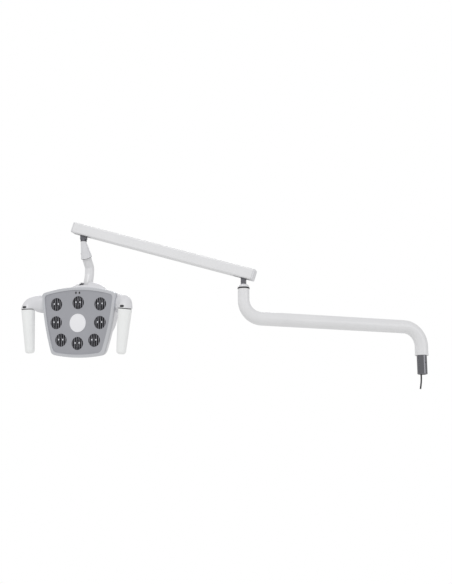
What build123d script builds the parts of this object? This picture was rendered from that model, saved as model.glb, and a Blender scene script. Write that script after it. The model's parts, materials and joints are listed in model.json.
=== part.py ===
"""Surgical light on a two-section arm: writes one STEP file per piece, in millimetres, +Z up.

The origin is the centre of the mount pin's shoulder. The rigid arm runs along -X and ends in an
upright stub. The spring arm swivels on that stub and rises and falls. Its front end carries the
neck, and the neck carries the head.
"""

import os
from math import cos, radians, sin, tan

from build123d import *

# ---- Driving dimensions (mm and degrees) ----
PIN_D = 32
PIN_LENGTH = 60
PIN_BORE_D = 21
TUBE_D = 42
TUBE_WALL = 3
STUB_D = 35
TUBE_HEIGHT = 90
TUBE_REACH = 600
PIN_BEND_R = 60
STUB_BEND_R = 55
LIP_D = 43.4
LIP_HEIGHT = 5
STUB_TOP = 178
RING_HEIGHT = 3
SPINDLE_D = 20

ARM_HEADING = 31
ARM_RISE = 17.5
ARM_LENGTH = 546
ARM_OVERHANG = 36
ARM_WIDTH = 36
ARM_HEIGHT = 34
ARM_WALL = 2.5
ARM_CORNER = 5
CAP_LENGTH = 5
CAP_SEAM = 0.4
PIVOT_HEIGHT = 229
PIVOT_PIN_D = 8
LINK_OFFSET = 9
LINK_PIN_D = 4
LINK_ROD_D = 5
ANCHOR_OFFSET = 9
TONGUE_THICK = 12
SIDE_GAP = 0.3
RUNNING = 0.05

HEAD_YAW = 40.3
HEAD_PITCH = 6.7
HEAD_ROLL = 3.4
FACE_FORWARD = 22
CONE_TOP_Z = 356
CONE_BOTTOM_Z = 310
CONE_SHIFT = 20.3
CONE_SLANT = 36
CONE_WALL = 1.6
HEAD_SPINDLE_D = 10
FACE_HEIGHT = 90.4
NECK_D = 29
NECK_BORE_D = 23
CONE_TOP_D = 18.5
CONE_BOTTOM_D = 35.5
HUB_D = 34
HUB_WIDTH = 29.4
AXLE_D = 12
JOINT_UP = 70
JOINT_BACK = 65
DOME_R = 104
DOME_UP = 30.5
DOME_EDGE_R = 30
DOME_EDGE_TURN = 60
TILT_UP = 15
TILT_DOWN = 60

SHELL_WALL = 3
BEZEL_DEPTH = 8
SEAL_DEPTH = 1.4
PANEL_SINK = 2.5
PANEL_THICK = 3.5
RIM_WIDTH = 9.5
TOP_CORNER = 11
BOTTOM_CORNER = 18
PAN_DEPTH = 44
LENS_D = 40.6
LENS_CENTRES = [
    (-78.5, 58.4), (0, 63.3), (78.5, 58.4),
    (-78.4, 1.1), (78.4, 1.1),
    (-59.6, -53.6), (0, -63.7), (59.6, -53.6),
]
BADGE_D = 57.5
SCREW_PLACES = [(-96, 70), (96, 70), (-60, -64), (60, -64)]
SCREW_D = 3.8
SCREW_HEAD_D = 8
SCREW_HEAD_HEIGHT = 1.8
HANDLE_TOP = (173.6, 43.5, 12.6)
HANDLE_TOP_D = 42.6
HANDLE_TIP_D = 28.3
HANDLE_LENGTH = 140
HANDLE_LEAN = 4.6
GROOVE = 2.6
CORE_D = 16
CORE_LENGTH = 58
WING_END_D = 44.5

CABLE_D = 5
CABLE_ROUTE = [(-6, -2, -60), (-6, -2, -75), (-8.2, -2.9, -91), (-12, -4.3, -107)]

os.makedirs("parts", exist_ok=True)


# ---- Shared frames ----
heading = radians(ARM_HEADING)
rise = radians(ARM_RISE)
along_arm = Vector(-cos(heading) * cos(rise), sin(heading) * cos(rise), sin(rise))
pivot_axis = Vector(sin(heading), cos(heading), 0)
rear_pivot = Vector(-TUBE_REACH, 0, PIVOT_HEIGHT)
front_pivot = rear_pivot + along_arm * ARM_LENGTH

# The spring arm's own frame: X along the arm, Y along its pivot pins, Z up through its section.
arm_frame = Plane(origin=rear_pivot, x_dir=along_arm, z_dir=pivot_axis.cross(along_arm)).location
# The same heading with no rise, for the two upright knuckles.
level_x = Vector(-cos(heading), sin(heading), 0)
rear_frame = Plane(origin=rear_pivot, x_dir=level_x, z_dir=(0, 0, 1)).location
front_frame = Plane(origin=front_pivot, x_dir=level_x, z_dir=(0, 0, 1)).location

yaw = radians(HEAD_YAW)
pitch = radians(HEAD_PITCH)
roll = radians(HEAD_ROLL)
face_level = Vector(-sin(yaw), -cos(yaw), 0)
lateral = Vector(cos(yaw), -sin(yaw), 0)
face_out = face_level * cos(pitch) - Vector(0, 0, 1) * sin(pitch)
face_up = face_out.cross(lateral)
face_centre = Vector(front_pivot.X, front_pivot.Y, FACE_HEIGHT) + face_level * FACE_FORWARD
# The head joint's frame: X across, Y up the face, Z out of the face. The head is rolled in it.
joint_frame = Plane(origin=face_centre, x_dir=lateral, z_dir=face_out).location
head_frame = Plane(
    origin=face_centre, x_dir=lateral * cos(roll) - face_up * sin(roll), z_dir=face_out
).location
# The neck's frame: X points away from the face, Y across, Z up, on the head's swivel axis.
neck_frame = Plane(
    origin=(front_pivot.X, front_pivot.Y, 0), x_dir=face_level * -1, z_dir=(0, 0, 1)
).location


def save(name, shape):
    """Writes one piece under its node name."""
    export_step(shape, "parts/" + name + ".step")


def rod(diameter, start, end):
    """A straight round bar between two points."""
    start = Vector(*start)
    end = Vector(*end)
    bar = Cylinder(diameter / 2, (end - start).length, align=(Align.CENTER, Align.CENTER, Align.MIN))
    return Plane(origin=start, z_dir=end - start).location * bar


def ring(outer_d, inner_d, low, high):
    """A plain upright ring about Z."""
    return rod(outer_d, (0, 0, low), (0, 0, high)) - rod(inner_d, (0, 0, low - 1), (0, 0, high + 1))


def turned(points, axis=Axis.Z):
    """A solid turned about an axis from a closed outline in the XZ plane."""
    return revolve(make_face(Plane.XZ * Polyline(*points, close=True)), axis)


# ---- Rigid arm ----
def tube_body(shrink):
    """The bent tube's solid: the pin end, the long run, the tapering bend and the stub."""
    radius = TUBE_D / 2 - shrink
    stub_radius = STUB_D / 2 - shrink
    low = LIP_HEIGHT if shrink == 0 else LIP_HEIGHT - 1
    high = STUB_TOP if shrink == 0 else STUB_TOP + 1
    stub_start = TUBE_HEIGHT + STUB_BEND_R
    path = Polyline((0, 0, low), (0, 0, TUBE_HEIGHT), (STUB_BEND_R - TUBE_REACH, 0, TUBE_HEIGHT))
    path = fillet(path.vertices().sort_by(Axis.Z)[1:].sort_by(Axis.X)[-1:], PIN_BEND_R)
    body = sweep(Plane.XY.offset(low) * Circle(radius), path=path)
    centre = (STUB_BEND_R - TUBE_REACH, 0, stub_start)
    arc = Plane.XZ * CenterArc((centre[0], centre[2]), STUB_BEND_R, 270, -90)
    wide = Plane(origin=(centre[0], 0, TUBE_HEIGHT), z_dir=(-1, 0, 0)) * Circle(radius)
    narrow = Plane(origin=(-TUBE_REACH, 0, stub_start), z_dir=(0, 0, 1)) * Circle(stub_radius)
    body += sweep([wide, narrow], path=arc, multisection=True)
    body += rod(2 * stub_radius, (-TUBE_REACH, 0, stub_start), (-TUBE_REACH, 0, high))
    return body


def pin_side(shape):
    """Moves a shape made about Z onto the mount pin's front side."""
    return Pos(0, 0, -24) * Rot(0, 0, 18) * shape


def make_rigid_arm():
    save("arm_tube", tube_body(0) - tube_body(TUBE_WALL))
    lip = ring(LIP_D, TUBE_D - 2 * TUBE_WALL, 0, LIP_HEIGHT)
    save("tube_collar", fillet(lip.edges().group_by(Axis.Z)[0].sort_by(SortBy.RADIUS)[-1:], 1.5))
    socket_d = TUBE_D - 2 * TUBE_WALL
    pin = rod(PIN_D, (0, 0, -PIN_LENGTH), (0, 0, 0)) + rod(socket_d, (0, 0, 0), (0, 0, 26))
    pin -= rod(PIN_BORE_D, (0, 0, -PIN_LENGTH - 1), (0, 0, 27))
    pin = chamfer(pin.edges().group_by(Axis.Z)[0].sort_by(SortBy.RADIUS)[-1:], 1.5)
    screw = rod(6, (0, -PIN_D / 2 + 0.4, 0), (0, -PIN_BORE_D / 2 - 0.5, 0))
    socket = Plane.XZ.offset(PIN_D / 2) * RegularPolygon(1.6, 6)
    hole = rod(6, (0, -PIN_D / 2 - 1, 0), (0, -PIN_BORE_D / 2 - 0.5, 0))
    save("mount_pin", pin - pin_side(hole))
    save("stop_screw", pin_side(screw - extrude(socket, -3)))
    inner_d = STUB_D - 2 * TUBE_WALL
    bush = ring(inner_d, SPINDLE_D + 2 * RUNNING, 0, 12)
    lower = Pos(-TUBE_REACH, 0, TUBE_HEIGHT + STUB_BEND_R + 1) * bush
    upper = Pos(-TUBE_REACH, 0, STUB_TOP - 12) * bush
    save("elbow_bushes", Compound([lower, upper]))
    collar = ring(STUB_D + 1.6, SPINDLE_D + 1, STUB_TOP, STUB_TOP + RING_HEIGHT)
    save("elbow_ring", Pos(-TUBE_REACH, 0, 0) * collar)


def make_cable():
    """The lead inside the arm tube, and the tail that hangs out of the mount pin."""
    exit_x, exit_y, exit_z = CABLE_ROUTE[0]
    lead_path = FilletPolyline(
        (exit_x, exit_y, exit_z), (exit_x, exit_y, TUBE_HEIGHT),
        (STUB_BEND_R - TUBE_REACH + 4, exit_y, TUBE_HEIGHT), radius=PIN_BEND_R - 12,
    )
    save("arm_lead", sweep(Plane(origin=lead_path @ 0, z_dir=lead_path % 0) * Circle(CABLE_D / 2),
                           path=lead_path))
    points = [Vector(*point) for point in CABLE_ROUTE]
    radii = []
    for before, corner, after in zip(points, points[1:], points[2:]):
        turn = radians((corner - before).get_angle(after - corner))
        shorter = min((corner - before).length, (after - corner).length)
        radii.append(0.45 * shorter / tan(turn / 2))
    print("supply cable radii", [round(radius, 1) for radius in radii])
    path = FilletPolyline(*points, radius=radii)
    tail = sweep(Plane(origin=path @ 0, z_dir=path % 0) * Circle(CABLE_D / 2), path=path)
    section = Circle(CABLE_D / 2).area
    print("supply cable length", round(path.length, 2), "from volume", round(tail.volume / section, 2))
    save("supply_cable", tail)


# ---- Elbow ----
def tongue(width, bottom, holes):
    """An upright plate with a round top that takes the pivot, link and anchor pins."""
    outline = Rectangle(width, ARM_HEIGHT / 2 - bottom - 4, align=(Align.CENTER, Align.MIN))
    plate = Pos(0, 0, bottom) * extrude(Plane.XZ * outline, TONGUE_THICK / 2, both=True)
    plate = fillet(plate.edges().filter_by(Axis.Y).group_by(Axis.Z)[-1], 6)
    for height, diameter in holes:
        plate -= rod(diameter, (0, -TONGUE_THICK, height), (0, TONGUE_THICK, height))
    return plate


def pin_holes():
    """Heights and hole sizes of the pivot pin, the link pin and the anchor pin in a tongue."""
    return [
        (0, PIVOT_PIN_D + 2 * RUNNING), (LINK_OFFSET, LINK_PIN_D), (-ANCHOR_OFFSET, LINK_PIN_D),
    ]


def make_elbow():
    cap_low = STUB_TOP + RING_HEIGHT + SIDE_GAP - PIVOT_HEIGHT
    cap_high = 193 - PIVOT_HEIGHT
    spindle_low = TUBE_HEIGHT + STUB_BEND_R - 10 - PIVOT_HEIGHT
    knuckle = tongue(15, cap_high, pin_holes())
    knuckle += rod(16, (0, 0, cap_low), (0, 0, cap_high + 1))
    knuckle += rod(SPINDLE_D, (0, 0, spindle_low), (0, 0, cap_low + 1))
    save("rear_knuckle", rear_frame * knuckle)
    radius = STUB_D / 2 + 0.3
    height = cap_high - cap_low
    profile = Plane.XZ * make_face([
        Line((8, 1.2), (8, height)),
        ThreePointArc((8, height), (radius - 2.6, height * 0.62), (radius, 1.2)),
        Line((radius, 1.2), (8, 1.2)),
    ])
    save("elbow_cap", rear_frame * Pos(0, 0, cap_low) * revolve(profile, Axis.Z))
    save("rear_link_pin", rear_frame * rod(LINK_PIN_D, (0, -6, LINK_OFFSET), (0, 12, LINK_OFFSET)))
    anchor = rod(LINK_PIN_D, (0, -12, -ANCHOR_OFFSET), (0, 6, -ANCHOR_OFFSET))
    save("anchor_pin", rear_frame * anchor)


# ---- Spring arm ----
def arm_section(shrink):
    """The spring arm's rounded box section, square to its length."""
    corner = ARM_CORNER - shrink
    return Plane.YZ * RectangleRounded(ARM_WIDTH - 2 * shrink, ARM_HEIGHT - 2 * shrink, corner)


def make_spring_arm():
    start = -ARM_OVERHANG + CAP_LENGTH
    end = ARM_LENGTH + ARM_OVERHANG - CAP_LENGTH
    pins = [
        rod(PIVOT_PIN_D, (pivot, 1 - ARM_WIDTH / 2, 0), (pivot, ARM_WIDTH / 2 - 1, 0))
        for pivot in (0, ARM_LENGTH)
    ]
    housing = Pos(start, 0, 0) * extrude(arm_section(0), end - start)
    housing -= Pos(start - 1, 0, 0) * extrude(arm_section(ARM_WALL), end - start + 2)
    for pivot, pin in zip((0, ARM_LENGTH), pins):
        slot = Box(56, TONGUE_THICK + 3, 12, align=(Align.CENTER, Align.CENTER, Align.MAX))
        housing -= Pos(pivot, 0, -ARM_HEIGHT / 2 + ARM_WALL + 2) * slot
        housing -= pin
    save("arm_housing", arm_frame * housing)
    save("arm_pivot_pins", arm_frame * Compound(pins))
    for name, plane_x, way in (("rear_end_cap", start, -1), ("front_end_cap", end, 1)):
        plug = Pos(way, 0, 0) * extrude(arm_section(ARM_WALL), -7 * way)
        lid = Pos(CAP_SEAM * way, 0, 0) * extrude(arm_section(0), (CAP_LENGTH - CAP_SEAM) * way)
        lid = fillet(lid.faces().sort_by(Axis.X)[-1 if way > 0 else 0].edges(), 2.5)
        save(name, arm_frame * Pos(plane_x, 0, 0) * (lid + plug))


def make_spring():
    """The balance spring as a plain sleeve of its coil's size, its seat, and its rod and nut."""
    drop = -ANCHOR_OFFSET * cos(rise)
    shift = ANCHOR_OFFSET * sin(rise)
    seat_x = 80
    nut_x = 400
    side = -8.3
    seat = Box(6, ARM_WIDTH - 2 * ARM_WALL, ARM_HEIGHT - 2 * ARM_WALL)
    seat = Pos(seat_x, 0, 0) * fillet(seat.edges().filter_by(Axis.X), ARM_CORNER - ARM_WALL)
    seat -= Pos(seat_x, side, drop) * Box(8, 7, 8)
    seat -= Pos(seat_x, 8.3, LINK_OFFSET - 1) * Box(8, 8, 10)
    save("spring_seat", arm_frame * seat)
    low = seat_x + 3 + 1
    high = nut_x - 3.5
    sleeve = rod(11, (low, side, drop), (high, side, drop))
    sleeve -= rod(7.4, (low - 1, side, drop), (high + 1, side, drop))
    save("balance_spring", arm_frame * sleeve)
    bar = rod(4, (-shift + 3, side, drop), (nut_x + 12, side, drop))
    eye = rod(8, (-shift, -10.3, drop), (-shift, -6.3, drop))
    hole = rod(LINK_PIN_D + 2 * RUNNING, (-shift, -20, drop), (-shift, 0, drop))
    save("spring_rod", arm_frame * (bar + eye - hole))
    nut = Plane.YZ.offset(nut_x) * RegularPolygon(4.8, 6)
    nut = Pos(0, side, drop) * extrude(nut, 6) - rod(4, (0, side, drop), (nut_x + 9, side, drop))
    save("spring_nut", arm_frame * nut)


def make_link():
    """The rod beside the spring that keeps the front knuckle upright."""
    rear = (LINK_OFFSET * sin(rise), LINK_OFFSET * cos(rise))
    ends = (rear[0], rear[0] + ARM_LENGTH)
    bar = rod(LINK_ROD_D, (ends[0] + 3, 8.8, rear[1]), (ends[1] - 3, 8.8, rear[1]))
    for x in ends:
        bar += rod(8.6, (x, 6.4, rear[1]), (x, 11, rear[1]))
    for x in ends:
        bar -= rod(LINK_PIN_D + 2 * RUNNING, (x, 0, rear[1]), (x, 20, rear[1]))
    save("link_rod", arm_frame * bar)


# ---- Front knuckle and neck ----
def make_front_knuckle():
    body_low = CONE_TOP_Z + 1.2 - front_pivot.Z
    knuckle = tongue(20, -30, [(0, PIVOT_PIN_D + 2 * RUNNING), (LINK_OFFSET, LINK_PIN_D)])
    knuckle += rod(20, (0, 0, body_low), (0, 0, -29))
    knuckle -= rod(HEAD_SPINDLE_D + 2 * RUNNING, (0, 0, body_low - 1), (0, 0, -8))
    save("front_knuckle", front_frame * knuckle)
    save("front_link_pin", front_frame * rod(LINK_PIN_D, (0, -6, LINK_OFFSET), (0, 12, LINK_OFFSET)))


def neck_curve():
    """The neck's centreline: from inside the cone, back over the head's top edge, then down."""
    return FilletPolyline(
        (16.8, 0, 314.9), (42, 0, 280), (42, 0, 256), (35.4, 0, 226),
        (35.4, 0, joint_centre().Z), radius=[20, 40, 60],
    )


def joint_centre():
    """The middle of the tilt axle."""
    return face_centre + face_up * JOINT_UP - face_out * JOINT_BACK


def cone_loft(grow, start_z, end_z):
    """The cone cover's solid between two heights: it leans back as it widens."""
    span = CONE_TOP_Z - CONE_BOTTOM_Z
    circles = []
    for z in (start_z, end_z):
        share = (CONE_TOP_Z - z) / span
        diameter = CONE_TOP_D + share * (CONE_BOTTOM_D - CONE_TOP_D) + 2 * grow
        lean = radians(CONE_SLANT * share)
        plane = Plane(origin=(CONE_SHIFT * share, 0, z), z_dir=(-sin(lean), 0, cos(lean)))
        circles.append(plane * Circle(diameter / 2))
    return loft(circles)


def neck_bar(diameter, share):
    """A round bar along the first share of the neck's centreline."""
    path = neck_curve().trim(0, share)
    return sweep(Plane(origin=path @ 0, z_dir=path % 0) * Circle(diameter / 2), path=path)


def make_neck():
    spindle = rod(HEAD_SPINDLE_D, (0, 0, CONE_TOP_Z - 2), (0, 0, front_pivot.Z - 9))
    save("head_spindle", neck_frame * spindle)
    tube = neck_bar(NECK_D, 1)
    root = cone_loft(-CONE_WALL - SIDE_GAP, CONE_TOP_Z, CONE_BOTTOM_Z + 2)
    root -= rod(HEAD_SPINDLE_D, (0, 0, CONE_TOP_Z - 2), (0, 0, CONE_TOP_Z + 5))
    save("neck_root", neck_frame * (root - tube))
    cone = cone_loft(0, CONE_TOP_Z, CONE_BOTTOM_Z)
    cone -= cone_loft(-CONE_WALL, CONE_TOP_Z + 1, CONE_BOTTOM_Z - 6)
    cone -= tube + root
    notch = (CONE_SHIFT * 0.75, CONE_BOTTOM_D / 2 - 3.6, CONE_BOTTOM_Z + 12)
    screw_end = (notch[0], notch[1] + 3.4, notch[2])
    screw = rod(4, notch, screw_end) - cone_loft(-CONE_WALL - SIDE_GAP, CONE_TOP_Z, CONE_BOTTOM_Z)
    save("cone_cover", neck_frame * (cone - rod(4, notch, (notch[0], notch[1] + 20, notch[2]))))
    save("cone_screw", neck_frame * screw)
    to_joint = neck_frame.inverse() * joint_frame * Pos(0, JOINT_UP, -JOINT_BACK)
    hub = to_joint * rod(HUB_D, (-HUB_WIDTH / 2, 0, 0), (HUB_WIDTH / 2, 0, 0))
    hole = to_joint * rod(AXLE_D + 2 * RUNNING, (-HUB_WIDTH, 0, 0), (HUB_WIDTH, 0, 0))
    save("neck_tube", neck_frame * (tube - neck_bar(NECK_BORE_D, 0.7) + hub - hole))


# ---- Head ----
def inset(distance):
    """The front outline drawn in by a distance: arched top, tapering sides, bowed bottom."""
    right_side = ThreePointArc((132.5, 93.5), (120.8, 5), (92.7, -98.8))
    face = make_face([
        ThreePointArc((-132.5, 93.5), (0, 112.5), (132.5, 93.5)),
        right_side,
        ThreePointArc((92.7, -98.8), (0, -108), (-92.7, -98.8)),
        right_side.mirror(Plane.YZ),
    ])
    if distance:
        face = offset(face, amount=-distance, kind=Kind.INTERSECTION)
    corners = face.vertices().group_by(Axis.Y)
    face = fillet(corners[-1], TOP_CORNER)
    return fillet(face.vertices().group_by(Axis.Y)[0], BOTTOM_CORNER)


def slab(face, low, high):
    """A flat piece of the head from a face, between two depths."""
    return Pos(0, 0, low) * extrude(face, high - low)


def pan(shrink, front):
    """The rear housing's pan: it narrows towards its back, with a soft rear edge."""
    levels = [(front, 0), (-26, 3), (-38, 11), (-PAN_DEPTH, 24)]
    faces = [Pos(0, 0, z + (shrink if z < -30 else 0)) * inset(step + shrink) for z, step in levels]
    return loft(faces)


def dome(shrink, way):
    """One half of the joint dome, with a round edge and a shallow crown, towards +Z or -Z."""
    turn = radians(DOME_EDGE_TURN)
    edge_x = DOME_R - DOME_EDGE_R
    edge_r = DOME_EDGE_R - shrink
    crown_z = -edge_x * tan(turn)
    crown_r = edge_x / cos(turn) + edge_r
    middle = (turn + radians(90)) / 2
    shoulder = (edge_x + edge_r * cos(turn), edge_r * sin(turn))
    profile = make_face([
        Line((0, 0), (edge_x + edge_r, 0)),
        ThreePointArc((edge_x + edge_r, 0),
                      (edge_x + edge_r * cos(turn / 2), edge_r * sin(turn / 2)), shoulder),
        ThreePointArc(shoulder, (crown_r * cos(middle), crown_z + crown_r * sin(middle)),
                      (0, crown_z + crown_r)),
        Line((0, crown_z + crown_r), (0, 0)),
    ])
    half = revolve(Plane.XZ * profile, Axis.Z)
    return to_head(Pos(0, DOME_UP, -JOINT_BACK) * Rot(0 if way > 0 else 180, 0, 0) * half)


def neck_slot():
    """The space that the neck sweeps through the dome as the head tilts."""
    half = NECK_D / 2 + 2
    reach = 130
    high = radians(TILT_UP - HEAD_PITCH)
    low = radians(-TILT_DOWN - HEAD_PITCH)
    middle = (high + low) / 2
    outline = Polyline(
        (-half * sin(high), half * cos(high)),
        (reach * cos(high) - half * sin(high), reach * sin(high) + half * cos(high)),
        (1.3 * reach * cos(middle), 1.3 * reach * sin(middle)),
        (reach * cos(low) + half * sin(low), reach * sin(low) - half * cos(low)),
        (half * sin(low), -half * cos(low)),
        close=True,
    )
    fan = extrude(Plane.YZ * make_face(outline), half, both=True)
    return to_head(Pos(0, JOINT_UP, -JOINT_BACK) * fan)


def to_head(shape):
    """Moves a shape of the joint frame's own coordinates into the rolled head's coordinates."""
    return head_frame.inverse() * joint_frame * shape


def make_housing():
    front = -BEZEL_DEPTH - SEAL_DEPTH
    slot = neck_slot()
    save("dome_cover", head_frame * (dome(0, -1) - dome(SHELL_WALL, -1) - slot))
    hollow = dome(SHELL_WALL, 1)
    shell = pan(0, front) - pan(SHELL_WALL, front + 1) - hollow
    shell += dome(0, 1) - hollow - pan(0.01, front)
    shell -= slot
    screws = []
    for x, y in SCREW_PLACES:
        back = -PAN_DEPTH - SCREW_HEAD_HEIGHT
        shell -= rod(SCREW_D, (x, y, -PAN_DEPTH - 1), (x, y, -20))
        head = rod(SCREW_HEAD_D, (x, y, back), (x, y, -PAN_DEPTH))
        head -= Pos(x, y, back) * Box(6, 1.2, 2)
        screws.append(head + rod(SCREW_D, (x, y, -PAN_DEPTH), (x, y, -PAN_DEPTH + SHELL_WALL)))
    save("rear_housing", head_frame * shell)
    save("housing_screws", head_frame * Compound(screws))
    seal = slab(inset(0.8), front, -BEZEL_DEPTH) - slab(inset(4), front, -BEZEL_DEPTH)
    save("bezel_seal", head_frame * seal)


def make_front():
    """The bezel, the panel, its badge and windows, and the lenses."""
    bezel = slab(inset(0), -BEZEL_DEPTH, 0)
    bezel = fillet(bezel.edges().group_by(Axis.Z)[-1], 3)
    bezel -= slab(inset(RIM_WIDTH), -BEZEL_DEPTH - 1, 1)
    save("bezel", head_frame * bezel)
    panel = slab(inset(RIM_WIDTH), -PANEL_SINK - PANEL_THICK, -PANEL_SINK)
    for x, y in LENS_CENTRES:
        panel -= rod(LENS_D + 0.4, (x, y, -20), (x, y, 5))
    save("face_panel", head_frame * panel)
    badge = Pos(0, 0, -PANEL_SINK) * extrude(Circle(BADGE_D / 2), 1.8)
    save("badge", head_frame * fillet(badge.edges().group_by(Axis.Z)[-1], 0.8))
    window = extrude(Plane.XY.offset(-PANEL_SINK) * Ellipse(2.6, 3.8), 0.8)
    windows = Compound([Pos(x, 94.2, 0) * window for x in (-8.9, 3.7)])
    save("sensor_windows", head_frame * windows)
    radius = LENS_D / 2
    outline = [
        (0, -1.4), (radius - 1, -1.4), (radius, -2.2), (radius, -6), (radius - 1.5, -6),
        (7, -21.4), (5, -21.4), (5, -19), (0, -19),
    ]
    lens = turned(outline)
    for number, (x, y) in enumerate(LENS_CENTRES, start=1):
        save("lens_" + str(number), head_frame * Pos(x, y, 0) * lens)


def make_inside():
    """The light engine: the chips on their board, the heat sink and the driver board."""
    save("led_board", head_frame * slab(inset(22), -24, -22.4))
    chips = [Pos(x, y, -21.8) * Box(5.5, 5.5, 1.2) for x, y in LENS_CENTRES]
    save("led_chips", head_frame * Compound(chips))
    sink = slab(inset(26), -28, -24)
    for number in range(13):
        sink += Pos(-72 + 12 * number, -26, -33) * Box(2.5, 88, 10)
    save("heat_sink", head_frame * sink)
    board = Pos(0, -30, -38.8) * Box(100, 60, 1.6)
    save("driver_board", head_frame * board)


def make_tilt_joint():
    """The bracket on the heat sink that holds the neck's hub, with its axle and washers."""
    ear_in = HUB_WIDTH / 2 + SIDE_GAP + 2
    ear_out = ear_in + 4
    bracket = Pos(0, 62, -40) * Box(64, 40, 4)
    for x in (-26, 26):
        for y in (48, 72):
            bracket += rod(8, (x, y, -40), (x, y, -28))
    for side in (-1, 1):
        ear = Pos(side * (ear_in + 2), JOINT_UP, -53) * Box(4, HUB_D, 24)
        bracket += ear + rod(HUB_D, (side * ear_in, JOINT_UP, -JOINT_BACK),
                             (side * ear_out, JOINT_UP, -JOINT_BACK))
    line = ((-ear_out, JOINT_UP, -JOINT_BACK), (ear_out, JOINT_UP, -JOINT_BACK))
    bracket -= rod(AXLE_D, (-40, JOINT_UP, -JOINT_BACK), (40, JOINT_UP, -JOINT_BACK))
    save("tilt_bracket", joint_frame * bracket)
    axle = rod(AXLE_D, (-ear_out - 7, JOINT_UP, -JOINT_BACK), (ear_out + 7, JOINT_UP, -JOINT_BACK))
    save("tilt_axle", joint_frame * axle)
    washers = []
    nuts = []
    for side, (x, y, z) in zip((-1, 1), line):
        washers.append(rod(HUB_D - 4, (x - side * 6, y, z), (x - side * 4, y, z))
                       - rod(AXLE_D, (-40, y, z), (40, y, z)))
        nut = Plane(origin=(x, y, z), z_dir=(side, 0, 0)) * RegularPolygon(10, 6)
        nuts.append(extrude(nut, 5) - rod(AXLE_D, (-40, y, z), (40, y, z)))
    save("friction_washers", joint_frame * Compound(washers))
    save("axle_nuts", joint_frame * Compound(nuts))


# ---- Wings and handles ----
def handle_place(side):
    """The frame of one handle: Z runs down along it from the wing's end face."""
    x, y, z = HANDLE_TOP
    lean = radians(HANDLE_LEAN)
    down = (-side * sin(lean), -cos(lean), 0)
    return Plane(origin=(side * x, y, z), x_dir=(0, 0, 1), z_dir=down).location


def wing_solid(side):
    """A wing lofted from the housing's side, round its shoulder, to the handle's round top."""
    sections = [
        (Plane(origin=(side * 112, 64, -25), z_dir=(side, 0, 0)), 62, 33),
        (Plane(origin=(side * 140, 61.5, -19), z_dir=(side, -0.12, 0.3)), 58, 35),
        (Plane(origin=(side * 163, 58.5, -1), z_dir=(side * 0.8, -0.5, 0.35)), 52, 41),
    ]
    faces = []
    for plane, height, depth in sections:
        framed = Plane(origin=plane.origin, x_dir=plane.z_dir.cross(Vector(0, 0, 1)), z_dir=plane.z_dir)
        faces.append(framed * Ellipse(height / 2, depth / 2))
    faces.append(handle_place(side) * Circle(WING_END_D / 2))
    return loft(faces)


def make_wings():
    body = pan(0, -BEZEL_DEPTH) + slab(inset(0), -BEZEL_DEPTH, 0)
    for side, name in ((-1, "left"), (1, "right")):
        place = handle_place(side)
        core = place * (rod(CORE_D, (0, 0, -16), (0, 0, CORE_LENGTH)))
        stem = Pos(side * HANDLE_TOP[0], HANDLE_TOP[1] + 5.5, 0)
        button = stem * Pos(0, 0, 25.7) * extrude(SlotOverall(12, 6.5), 9.6)
        pocket = stem * Pos(0, 0, 23.5) * extrude(SlotOverall(12.6, 7.1), 20)
        save(name + "_wing", head_frame * (wing_solid(side) - body - core - pocket))
        save(name + "_handle_core", head_frame * core)
        save(name + "_release_button", head_frame * button)
        top = HANDLE_TOP_D / 2
        tip = HANDLE_TIP_D / 2
        outline = Plane.XZ * make_face([
            Polyline((CORE_D / 2 + 2 * RUNNING, SIDE_GAP), (top - 3, SIDE_GAP), (top - 3, GROOVE),
                     (top - 1, GROOVE), (top, GROOVE + 1), (tip + 0.6, HANDLE_LENGTH - 9)),
            ThreePointArc((tip + 0.6, HANDLE_LENGTH - 9), (tip - 2.4, HANDLE_LENGTH - 2.6),
                          (tip - 9, HANDLE_LENGTH)),
            Polyline((tip - 9, HANDLE_LENGTH), (0, HANDLE_LENGTH), (0, CORE_LENGTH + 4),
                     (CORE_D / 2 + 2 * RUNNING, CORE_LENGTH + 4),
                     (CORE_D / 2 + 2 * RUNNING, SIDE_GAP)),
        ])
        save(name + "_handle", head_frame * place * revolve(outline, Axis.Z))


make_rigid_arm()
make_cable()
make_elbow()
make_spring_arm()
make_spring()
make_link()
make_front_knuckle()
make_neck()
make_housing()
make_front()
make_inside()
make_tilt_joint()
make_wings()
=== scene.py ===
"""The surgical light's looks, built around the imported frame.

Lengths are in metres. The cable's route, which repeats the CAD's, and the camera's lens and sensor
are in millimetres.
"""

import json
import math

import bmesh
import bpy
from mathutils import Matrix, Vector


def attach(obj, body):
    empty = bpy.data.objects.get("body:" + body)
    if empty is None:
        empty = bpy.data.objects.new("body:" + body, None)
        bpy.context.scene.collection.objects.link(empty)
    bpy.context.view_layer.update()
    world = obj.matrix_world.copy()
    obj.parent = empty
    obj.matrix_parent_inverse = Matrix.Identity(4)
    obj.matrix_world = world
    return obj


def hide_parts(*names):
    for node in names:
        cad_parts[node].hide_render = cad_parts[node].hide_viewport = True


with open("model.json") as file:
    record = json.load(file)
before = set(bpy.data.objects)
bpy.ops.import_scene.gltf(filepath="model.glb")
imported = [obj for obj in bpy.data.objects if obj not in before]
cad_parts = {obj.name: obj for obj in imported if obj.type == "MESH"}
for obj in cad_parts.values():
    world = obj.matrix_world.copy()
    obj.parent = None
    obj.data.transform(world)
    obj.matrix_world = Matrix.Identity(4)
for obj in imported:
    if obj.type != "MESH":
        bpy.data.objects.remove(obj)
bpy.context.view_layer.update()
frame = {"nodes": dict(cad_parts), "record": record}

# ---- Studio ----
AMBIENT = 0.66
BACKDROP = 1.0
LIGHT_AIM = (-0.7, 0, 0.15)
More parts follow.
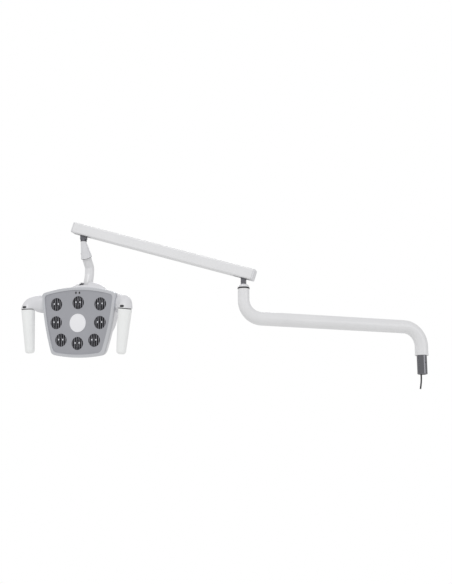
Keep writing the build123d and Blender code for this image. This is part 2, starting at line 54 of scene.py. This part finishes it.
# Each light's name, place, size and power.
LIGHTS = (
    ("key", (-2.6, -2.2, 2.4), (1.8, 1.4), 34),
    ("fill", (1.4, -2.6, 0.6), (1.6, 1.6), 9),
    ("back", (-0.4, 2.6, 1.8), (2.0, 1.2), 24),
)
FLOOR_LEFT = -9
FLOOR_RIGHT = 8
FLOOR_NEAR = -6
FLOOR_FAR = 1.6
FLOOR_LEVEL = -1.1

# ---- Camera ----
CAMERA_PLACE = (-1.50517, -2.60903, -0.39745)
CAMERA_TURN = 18.03
CAMERA_UP = 11.59
CAMERA_LENS = 57.39
CAMERA_SENSOR = 36
CAMERA_REACH = 50

# ---- The head's frame, as the CAD places it ----
HEAD_YAW = math.radians(40.3)
HEAD_PITCH = math.radians(6.7)
HEAD_ROLL = math.radians(3.4)
HEAD_MIDDLE = Vector((-1.0606, 0.2514, 0.0904))
Z_AXIS = Vector((0, 0, 1))
LEVEL_ACROSS = Vector((math.cos(HEAD_YAW), -math.sin(HEAD_YAW), 0))
LEVEL_BACK = Vector((math.sin(HEAD_YAW), math.cos(HEAD_YAW), 0))


def head_axes():
    """Across, up and out of the head's face, in the shared frame."""
    out = -LEVEL_BACK * math.cos(HEAD_PITCH) - Z_AXIS * math.sin(HEAD_PITCH)
    up = out.cross(LEVEL_ACROSS)
    across = LEVEL_ACROSS * math.cos(HEAD_ROLL) - up * math.sin(HEAD_ROLL)
    return across, out.cross(across), out


ACROSS, UP, OUT = head_axes()


def make_camera():
    data = bpy.data.cameras.new("camera")
    data.lens = CAMERA_LENS
    data.sensor_width = CAMERA_SENSOR
    data.sensor_fit = "AUTO"
    data.clip_end = CAMERA_REACH
    camera = bpy.data.objects.new("camera", data)
    bpy.context.collection.objects.link(camera)
    camera.location = CAMERA_PLACE
    camera.rotation_euler = (math.radians(90 + CAMERA_UP), 0, math.radians(-CAMERA_TURN))
    bpy.context.scene.camera = camera


def make_world():
    """A world that the camera sees as a white backdrop, and that lights the object more dimly."""
    world = bpy.data.worlds.new("studio")
    bpy.context.scene.world = world
    world.use_nodes = True
    nodes = world.node_tree.nodes
    links = world.node_tree.links
    background = nodes["Background"]
    background.inputs["Color"].default_value = (1, 1, 1, 1)
    rays = nodes.new("ShaderNodeLightPath")
    strength = nodes.new("ShaderNodeMapRange")
    strength.inputs["To Min"].default_value = AMBIENT
    strength.inputs["To Max"].default_value = BACKDROP
    links.new(rays.outputs["Is Camera Ray"], strength.inputs["Value"])
    links.new(strength.outputs["Result"], background.inputs["Strength"])
    bpy.context.scene.view_settings.view_transform = "Standard"


def make_lights():
    for name, place, size, power in LIGHTS:
        data = bpy.data.lights.new(name, "AREA")
        data.shape = "RECTANGLE"
        data.size, data.size_y = size
        data.energy = power
        lamp = bpy.data.objects.new(name, data)
        bpy.context.collection.objects.link(lamp)
        lamp.location = place
        direction = Vector(LIGHT_AIM) - Vector(place)
        lamp.rotation_euler = direction.to_track_quat("-Z", "Y").to_euler()


def make_floor():
    corners = [
        (FLOOR_LEFT, FLOOR_NEAR, FLOOR_LEVEL), (FLOOR_RIGHT, FLOOR_NEAR, FLOOR_LEVEL),
        (FLOOR_RIGHT, FLOOR_FAR, FLOOR_LEVEL), (FLOOR_LEFT, FLOOR_FAR, FLOOR_LEVEL),
    ]
    floor_mesh = bpy.data.meshes.new("floor")
    floor_mesh.from_pydata(corners, [], [(0, 1, 2, 3)])
    floor = bpy.data.objects.new("floor", floor_mesh)
    bpy.context.collection.objects.link(floor)
    floor_mesh.materials.append(surface("floor", (0.88, 0.88, 0.87), 0.7, grain=(40, 0.02)))


# ---- Materials ----
COAT_ROUGH = 0.08
LEAST_ROUGH = 0.02
BROAD_DETAIL = 5
FINE_DETAIL = 3
RELIEF_DEPTH = 0.0005


def noise(tree, mapping, scale, detail):
    texture = tree.nodes.new("ShaderNodeTexNoise")
    texture.inputs["Scale"].default_value = scale
    texture.inputs["Detail"].default_value = detail
    tree.links.new(mapping.outputs["Vector"], texture.inputs["Vector"])
    return texture.outputs["Fac"]


def mottled_colour(tree, factor, colour, mottle):
    """A colour that runs from a little darker to a little lighter than the one given."""
    tint = tree.nodes.new("ShaderNodeMix")
    tint.data_type = "RGBA"
    tint.inputs["A"].default_value = (*[channel * (1 - mottle) for channel in colour], 1)
    tint.inputs["B"].default_value = (*[min(1, channel * (1 + mottle)) for channel in colour], 1)
    tree.links.new(factor, tint.inputs["Factor"])
    return tint.outputs["Result"]


def uneven_roughness(tree, factor, rough, rough_spread):
    spread = tree.nodes.new("ShaderNodeMapRange")
    spread.inputs["To Min"].default_value = max(LEAST_ROUGH, rough - rough_spread)
    spread.inputs["To Max"].default_value = min(1, rough + rough_spread)
    tree.links.new(factor, spread.inputs["Value"])
    return spread.outputs["Result"]


def grain_relief(tree, height, strength):
    relief = tree.nodes.new("ShaderNodeBump")
    relief.inputs["Strength"].default_value = strength
    relief.inputs["Distance"].default_value = RELIEF_DEPTH
    tree.links.new(height, relief.inputs["Height"])
    return relief.outputs["Normal"]


def surface(name, colour, rough, metal=0.0, grain=(900, 0.05), mottle=0.03, coat=0.0,
            specular=0.5, stretch=(1, 1, 1), rough_spread=0.08, broad_scale=14):
    """A procedural surface. The grain is the fine noise's scale and the strength of its relief."""
    material = bpy.data.materials.new(name)
    material.use_nodes = True
    tree = material.node_tree
    shader = tree.nodes["Principled BSDF"].inputs
    shader["Metallic"].default_value = metal
    shader["Specular IOR Level"].default_value = specular
    shader["Coat Weight"].default_value = coat
    shader["Coat Roughness"].default_value = COAT_ROUGH
    place = tree.nodes.new("ShaderNodeTexCoord")
    mapping = tree.nodes.new("ShaderNodeMapping")
    mapping.inputs["Scale"].default_value = stretch
    tree.links.new(place.outputs["Object"], mapping.inputs["Vector"])
    broad = noise(tree, mapping, broad_scale, BROAD_DETAIL)
    fine = noise(tree, mapping, grain[0], FINE_DETAIL)
    tree.links.new(mottled_colour(tree, broad, colour, mottle), shader["Base Color"])
    tree.links.new(uneven_roughness(tree, fine, rough, rough_spread), shader["Roughness"])
    tree.links.new(grain_relief(tree, fine, grain[1]), shader["Normal"])
    return material


def make_materials():
    """One finish for each of the record's material slots, and two more that paint highlights on the
    lenses.
    """
    return {
        "painted_steel": surface("painted_steel", (0.80, 0.80, 0.815), 0.3,
                                 grain=(650, 0.12), coat=0.25),
        "bright_steel": surface("bright_steel", (0.2, 0.2, 0.215), 0.12, metal=1,
                                stretch=(1, 1, 40), grain=(120, 0.06)),
        "dark_steel": surface("dark_steel", (0.16, 0.16, 0.175), 0.32, metal=1, grain=(500, 0.1)),
        "black_rubber": surface("black_rubber", (0.018, 0.018, 0.02), 0.6, grain=(1400, 0.2)),
        "bearing_plastic": surface("bearing_plastic", (0.7, 0.69, 0.65), 0.5),
        "cable_jacket": surface("cable_jacket", (0.012, 0.012, 0.013), 0.42, grain=(1600, 0.15)),
        "white_plastic": surface("white_plastic", (0.76, 0.76, 0.785), 0.34,
                                 grain=(1100, 0.06), coat=0.1),
        "handle_plastic": surface("handle_plastic", (0.94, 0.95, 0.95), 0.3,
                                  grain=(1300, 0.05), coat=0.15),
        "grey_plastic": surface("grey_plastic", (0.05, 0.05, 0.055), 0.4, grain=(1500, 0.1)),
        "silver_rim": surface("silver_rim", (0.63, 0.64, 0.67), 0.3, metal=0.35,
                              grain=(1500, 0.05), coat=0.2),
        "silver_panel": surface("silver_panel", (0.43, 0.435, 0.47), 0.42, metal=0.45, mottle=0.05,
                                grain=(1700, 0.35), rough_spread=0.12),
        "badge_white": surface("badge_white", (0.9, 0.9, 0.93), 0.3, grain=(1200, 0.08), coat=0.3),
        "sensor_black": surface("sensor_black", (0.006, 0.006, 0.007), 0.08, coat=1.0),
        "lens_dark": surface("lens_dark", (0.002, 0.002, 0.003), 0.1, specular=0.06,
                             grain=(900, 0.02)),
        # A pale finish for the painted glints on the lenses.
        "lens_glint": surface("lens_glint", (0.75, 0.76, 0.8), 0.2),
        # Light stripes painted on the flutes' crests as highlights; the strong mottle makes the
        # painted light vary along each flute.
        "lens_crest_highlight": surface("lens_crest_highlight", (0.3, 0.3, 0.33), 0.15, grain=(700, 0.3), mottle=0.95,
                              broad_scale=90),
        "circuit_board": surface("circuit_board", (0.03, 0.14, 0.07), 0.4),
        "led_chip": surface("led_chip", (0.85, 0.75, 0.25), 0.5),
        "aluminium": surface("aluminium", (0.6, 0.6, 0.62), 0.38, metal=1, grain=(500, 0.2)),
        "spring_steel": surface("spring_steel", (0.3, 0.3, 0.32), 0.3, metal=1),
    }


def dress_frame(materials):
    """Gives every CAD node the finish of its slot."""
    for row in frame["record"]["subparts"]:
        node = frame["nodes"][row["node"]]
        node.data.materials.clear()
        node.data.materials.append(materials[row["material_slot"]])


# ---- Cable ----
# The route is in millimetres, as in the CAD.
CABLE_ROUTE = [(-6, -2, -60), (-6, -2, -75), (-8.2, -2.9, -91), (-12, -4.3, -107)]
CABLE_D = 0.005


def metres(place):
    return [value / 1000 for value in place]


def make_cable(materials):
    curve = bpy.data.curves.new("supply_cable_tail", "CURVE")
    curve.dimensions = "3D"
    curve.bevel_depth = CABLE_D / 2
    curve.bevel_resolution = 6
    curve.use_fill_caps = True
    curve.resolution_u = 16
    spline = curve.splines.new("NURBS")
    spline.points.add(len(CABLE_ROUTE) - 1)
    for point, place in zip(spline.points, CABLE_ROUTE):
        point.co = (*metres(place), 1)
    spline.order_u = 3
    spline.use_endpoint_u = True
    cable = bpy.data.objects.new("supply_cable_tail", curve)
    bpy.context.collection.objects.link(cable)
    curve.materials.append(materials["cable_jacket"])
    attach(cable, "rigid_arm")
    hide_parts("supply_cable")


def new_piece(name, mesh_maker, material, body, slot, *replaced):
    """Makes a mesh piece from a bmesh builder, ties it to its body and hides the CAD nodes it
    replaces. The slot is not used.
    """
    mesh = bpy.data.meshes.new(name)
    shape = bmesh.new()
    mesh_maker(shape)
    bmesh.ops.recalc_face_normals(shape, faces=shape.faces)
    shape.to_mesh(mesh)
    shape.free()
    for face in mesh.polygons:
        face.use_smooth = True
    mesh.materials.append(material)
    piece = bpy.data.objects.new(name, mesh)
    bpy.context.collection.objects.link(piece)
    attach(piece, body)
    if replaced:
        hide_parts(*replaced)
    return piece


# ---- Lenses ----
LENS_NODES = ["lens_" + str(number) for number in range(1, 9)]
LENS_RADIUS = 0.0203
LENS_GRID = (96, 30)
LENS_SINK = 0.0012
LENS_EDGE = 0.0042
FRONT_DEPTH = 0.002
DOME_RISE = 0.0016
RIB_PITCH = 0.0064
RIB_DEPTH = 0.00035
RIB_FADE = 9
# How much of each flute's crest gets the painted highlight.
CREST_HIGHLIGHT_SHARE = 0.93
# Two pale dots on each lens are painted glints. They stand for highlights, stay fixed on the lens
# and do not move with the light or the view.
GLINT_RADIUS = 0.0023
GLINT_SIDE = 0.0072
GLINT_UP = 0.0015


def lens_centre(node):
    """The middle of a lens's front, on the head's face."""
    points = [vertex.co for vertex in frame["nodes"][node].data.vertices]
    front = max(point.dot(OUT) for point in points)
    rim = [point for point in points if front - point.dot(OUT) < FRONT_DEPTH]
    across = [point.dot(ACROSS) for point in rim]
    upward = [point.dot(UP) for point in rim]
    return (ACROSS * (min(across) + max(across)) / 2 + UP * (min(upward) + max(upward)) / 2
            + OUT * front)


def lens_highlight_index(offset):
    """The finish of a point of a lens: 0 the dark glass, 1 a painted highlight on a flute's crest,
    2 a painted glint, a pale dot.
    """
    x = offset.dot(ACROSS)
    y = offset.dot(UP)
    if math.hypot(abs(x) - GLINT_SIDE, y - GLINT_UP) < GLINT_RADIUS:
        return 2
    return int(abs(math.sin(math.pi * x / RIB_PITCH)) > CREST_HIGHLIGHT_SHARE)


def lens_point(centre, u, v):
    """Where a point of a square from -1 to 1 lands on the lens's round, fluted front."""
    x = u * math.sqrt(1 - v * v / 2)
    y = v * math.sqrt(1 - u * u / 2)
    reach = min(1.0, math.hypot(x, y))
    fade = min(1.0, (1 - reach) * RIB_FADE)
    lift = DOME_RISE * (1 - reach * reach) - LENS_SINK
    lift += fade * RIB_DEPTH * abs(math.sin(math.pi * x * LENS_RADIUS / RIB_PITCH))
    return centre + ACROSS * x * LENS_RADIUS + UP * y * LENS_RADIUS + OUT * lift


def close_behind(shape):
    """Draws the front's border back into a short edge, and fills it flat."""
    border = [edge for edge in shape.edges if edge.is_boundary]
    side = bmesh.ops.extrude_edge_only(shape, edges=border)
    moved = [item for item in side["geom"] if isinstance(item, bmesh.types.BMVert)]
    for vert in moved:
        vert.co -= OUT * LENS_EDGE
    back = [edge for edge in shape.edges if edge.is_boundary]
    bmesh.ops.holes_fill(shape, edges=back)


def fluted_lens(centre):
    """A closed lens: a shallow dome with upright flutes in front, a short edge and a flat back.
    Painted highlights lie on the flutes' crests, and two painted glints on the front.
    """
    columns, rows = LENS_GRID

    def build(shape):
        grid = []
        for row in range(rows + 1):
            v = 2 * row / rows - 1
            grid.append([shape.verts.new(lens_point(centre, 2 * column / columns - 1, v))
                         for column in range(columns + 1)])
        for row in range(rows):
            for column in range(columns):
                face = shape.faces.new((grid[row][column], grid[row][column + 1],
                                        grid[row + 1][column + 1], grid[row + 1][column]))
                face.material_index = lens_highlight_index(face.calc_center_median() - centre)
        close_behind(shape)

    return build


def make_lenses(materials):
    for node in LENS_NODES:
        lens = new_piece(node + "_fluted", fluted_lens(lens_centre(node)), materials["lens_dark"],
                         "head", "lens_dark", node)
        # The second and third finishes are painted highlights: light stripes on the flutes' crests
        # and a pale glint on each side of the middle.
        lens.data.materials.append(materials["lens_crest_highlight"])
        lens.data.materials.append(materials["lens_glint"])


# ---- Painted shade: black rings in the seams, and the plate under the neck's slot ----
RING_STEPS = 72
RING_SOFTNESS = 0.2
SWIVEL_FOOT = Vector((-1.04635, 0.2682, 0.31))
CONE_SHIFT = 0.0203
CONE_LEAN = math.radians(36)
# A thin black ring that paints the shade in the seam under the cone cover.
CONE_SEAM_SHADE_OUTER = 0.0179
CONE_SEAM_SHADE_INNER = 0.0146
CONE_SEAM_SHADE_HEIGHT = 0.001
CONE_SEAM_SHADE_SINK = 0.0004
HANDLE_TOP = (0.1736, 0.0435, 0.0126)
HANDLE_LEAN = math.radians(4.6)
# A thin black ring that paints the shade in the gap above each handle.
HANDLE_SHADE_OUTER = 0.0197
HANDLE_SHADE_INNER = 0.0182
HANDLE_SHADE_HEIGHT = 0.0019
HANDLE_SHADE_DROP = 0.0006
TILT_CENTRE = Vector((-1.02411, 0.29442, 0.16751))
SHIELD_R = 0.038
SHIELD_THICK = 0.0015
SHIELD_HALF = 0.0156
SHIELD_TURN = math.radians(50)
SHIELD_STEPS = 40


def join_loops(shape, here, after):
    """A band of faces between two closed loops of points."""
    for low in range(len(here)):
        high = (low + 1) % len(here)
        shape.faces.new((here[low], here[high], after[high], after[low]))


def flat_ring(centre, axis, outer, inner, height):
    """A thin closed ring with softened outer edges, rising from its centre along an axis."""
    soft = min(height, outer - inner) * RING_SOFTNESS
    profile = [
        (inner, 0), (outer - soft, 0), (outer, soft),
        (outer, height - soft), (outer - soft, height), (inner, height),
    ]

    def build(shape):
        side = axis.orthogonal().normalized()
        cross = axis.cross(side)
        loops = []
        for step in range(RING_STEPS):
            turn = 2 * math.pi * step / RING_STEPS
            arm = side * math.cos(turn) + cross * math.sin(turn)
            loops.append([shape.verts.new(centre + arm * reach + axis * rise)
                          for reach, rise in profile])
        for here, after in zip(loops, loops[1:] + loops[:1]):
            join_loops(shape, here, after)

    return build


def curved_shield(centre, across, up):
    """A curved plate round the tilt axle, made of an arc with a thickness."""
    inner = SHIELD_R - SHIELD_THICK
    corners = ((-1, inner), (-1, SHIELD_R), (1, SHIELD_R), (1, inner))

    def build(shape):
        forward = across.cross(up)
        loops = []
        for step in range(SHIELD_STEPS + 1):
            turn = SHIELD_TURN * (2 * step / SHIELD_STEPS - 1)
            arm = up * math.cos(turn) + forward * math.sin(turn)
            loops.append([shape.verts.new(centre + across * side * SHIELD_HALF + arm * reach)
                          for side, reach in corners])
        for here, after in zip(loops, loops[1:]):
            join_loops(shape, here, after)
        shape.faces.new(loops[0])
        shape.faces.new(loops[-1])

    return build


def make_shield(materials):
    """The plate that turns with the neck, under the slot of the joint dome."""
    new_piece("slot_shield", curved_shield(TILT_CENTRE, LEVEL_ACROSS, Z_AXIS),
              materials["white_plastic"], "neck", "white_plastic")


def make_seams(materials):
    """Black rings that paint the shade in the seam under the cone cover and in the gap above each
    handle.
    """
    axis = LEVEL_BACK * math.sin(CONE_LEAN) - Z_AXIS * math.cos(CONE_LEAN)
    centre = SWIVEL_FOOT + LEVEL_BACK * CONE_SHIFT - axis * CONE_SEAM_SHADE_SINK
    cone_shade_ring = flat_ring(centre, axis, CONE_SEAM_SHADE_OUTER, CONE_SEAM_SHADE_INNER, CONE_SEAM_SHADE_HEIGHT)
    # Painted shade: a black ring in the seam under the cone cover.
    new_piece("cone_seam_shade", cone_shade_ring, materials["black_rubber"], "neck", "black_rubber")
    for side, body in ((-1, "left_handle"), (1, "right_handle")):
        sideways = ACROSS * (-side * math.sin(HANDLE_LEAN))
        down = sideways - UP * math.cos(HANDLE_LEAN)
        top = HEAD_MIDDLE + ACROSS * side * HANDLE_TOP[0] + UP * HANDLE_TOP[1] + OUT * HANDLE_TOP[2]
        # Painted shade: a black ring in the gap where each handle meets the head.
        seam = flat_ring(top + down * HANDLE_SHADE_DROP, down, HANDLE_SHADE_OUTER, HANDLE_SHADE_INNER,
                         HANDLE_SHADE_HEIGHT)
        new_piece(body + "_seam", seam, materials["black_rubber"], body, "black_rubber")


make_camera()
finishes = make_materials()
dress_frame(finishes)
make_cable(finishes)
make_lenses(finishes)
make_seams(finishes)
make_shield(finishes)
make_world()
make_lights()
make_floor()
